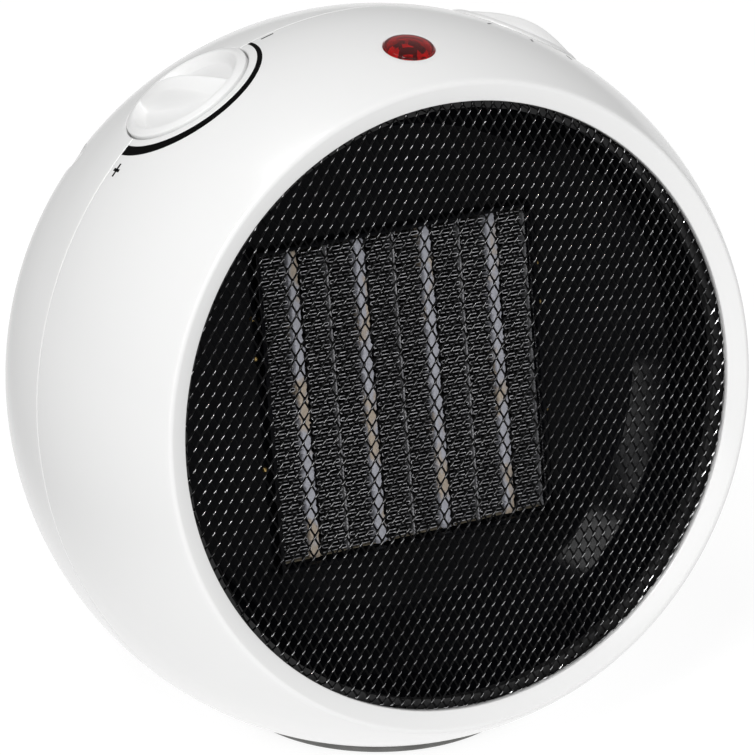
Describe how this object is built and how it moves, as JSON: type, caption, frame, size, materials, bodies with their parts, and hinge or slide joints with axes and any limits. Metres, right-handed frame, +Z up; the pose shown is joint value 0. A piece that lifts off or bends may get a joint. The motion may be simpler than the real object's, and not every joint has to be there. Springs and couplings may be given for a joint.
{
  "type": "ceramic space heater",
  "caption": "Ball-shaped ceramic fan heater: white gloss shell, round black mesh front, rotary knobs and a red power lens on top, small level foot.",
  "frame": {"origin": "centre of the foot's underside, on the table", "axes": "+Z up, the grille faces -Y and leans 9 degrees back, +X to the right of someone facing the grille"},
  "size_m": [0.2148, 0.1761, 0.2078],
  "materials": {
    "white_gloss": "glossy",
    "white_knob": "glossy",
    "black_mesh": "satin",
    "black_dish": "glossy",
    "black_plastic": "matt",
    "ptc_tube": "satin",
    "fin_aluminium": "satin",
    "side_plate": "satin",
    "heat_plastic": "matt",
    "tab_brass": "satin",
    "motor_steel": "brushed",
    "screw_steel": "zinc plated",
    "red_lens": "clear red",
    "lamp_glass": "clear",
    "foot_grey": "matt",
    "foot_rubber": "matt"
  },
  "bodies": {
    "housing": {"front_shell": "white_gloss", "rear_shell": "white_gloss", "front_grille": "black_mesh", "air_baffle": "black_dish", "grille_ring": "black_plastic", "fan_shroud": "black_plastic", "mode_switch_body": "black_plastic", "tip_switch_body": "black_plastic", "lamp_holder": "black_plastic", "cord_gland": "black_plastic", "ptc_tube_1": "ptc_tube", "ptc_tube_2": "ptc_tube", "ptc_tube_3": "ptc_tube", "ptc_tube_4": "ptc_tube", "fin_bank_1": "fin_aluminium", "fin_bank_2": "fin_aluminium", "fin_bank_3": "fin_aluminium", "fin_bank_4": "fin_aluminium", "fin_bank_5": "fin_aluminium", "fin_bank_6": "fin_aluminium", "fin_bank_7": "fin_aluminium", "fin_bank_8": "fin_aluminium", "divider_plate_1": "side_plate", "divider_plate_2": "side_plate", "divider_plate_3": "side_plate", "side_plate_left": "side_plate", "side_plate_right": "side_plate", "element_frame_top": "heat_plastic", "element_frame_bottom": "heat_plastic", "thermostat_body": "heat_plastic", "terminal_block": "heat_plastic", "thermal_fuse": "heat_plastic", "terminal_tab_left": "tab_brass", "terminal_tab_right": "tab_brass", "thermal_cutout": "motor_steel", "motor_bracket": "motor_steel", "motor_body": "motor_steel", "shell_screw_1": "screw_steel", "shell_screw_2": "screw_steel", "shell_screw_3": "screw_steel", "shell_screw_4": "screw_steel", "foot_screw_1": "screw_steel", "foot_screw_2": "screw_steel", "foot_screw_3": "screw_steel", "indicator_lens": "red_lens", "indicator_lamp": "lamp_glass", "foot_plate": "foot_grey", "foot_pad": "foot_rubber"},
    "fan": {"impeller": "black_plastic", "motor_shaft": "motor_steel"},
    "thermostat_dial": {"thermostat_knob": "white_knob", "thermostat_shaft": "motor_steel"},
    "mode_dial": {"mode_knob": "white_knob", "mode_switch_shaft": "motor_steel"},
    "tip_plunger": {"tip_switch_plunger": "foot_grey"}
  },
  "joints": [
    {"name": "fan_spin", "type": "hinge", "parent": "housing", "child": "fan", "pos_m": [0, 0.02124, 0.09704], "axis": [0, 0.9877, -0.1564], "continuous": true},
    {"name": "thermostat_turn", "type": "hinge", "parent": "housing", "child": "thermostat_dial", "pos_m": [-0.0516, 0.01398, 0.18867], "axis": [-0.5, 0.1355, 0.8554], "range_deg": [-115, 63]},
    {"name": "mode_turn", "type": "hinge", "parent": "housing", "child": "mode_dial", "pos_m": [0.0516, 0.01398, 0.18867], "axis": [0.5, 0.1355, 0.8554], "range_deg": [-135, 0]},
    {"name": "tip_switch_press", "type": "slide", "parent": "housing", "child": "tip_plunger", "axis": [0, 0, -1], "range_m": [0, 0.003], "stiffness_N_per_m": 60, "springref_m": 0.004}
  ]
}
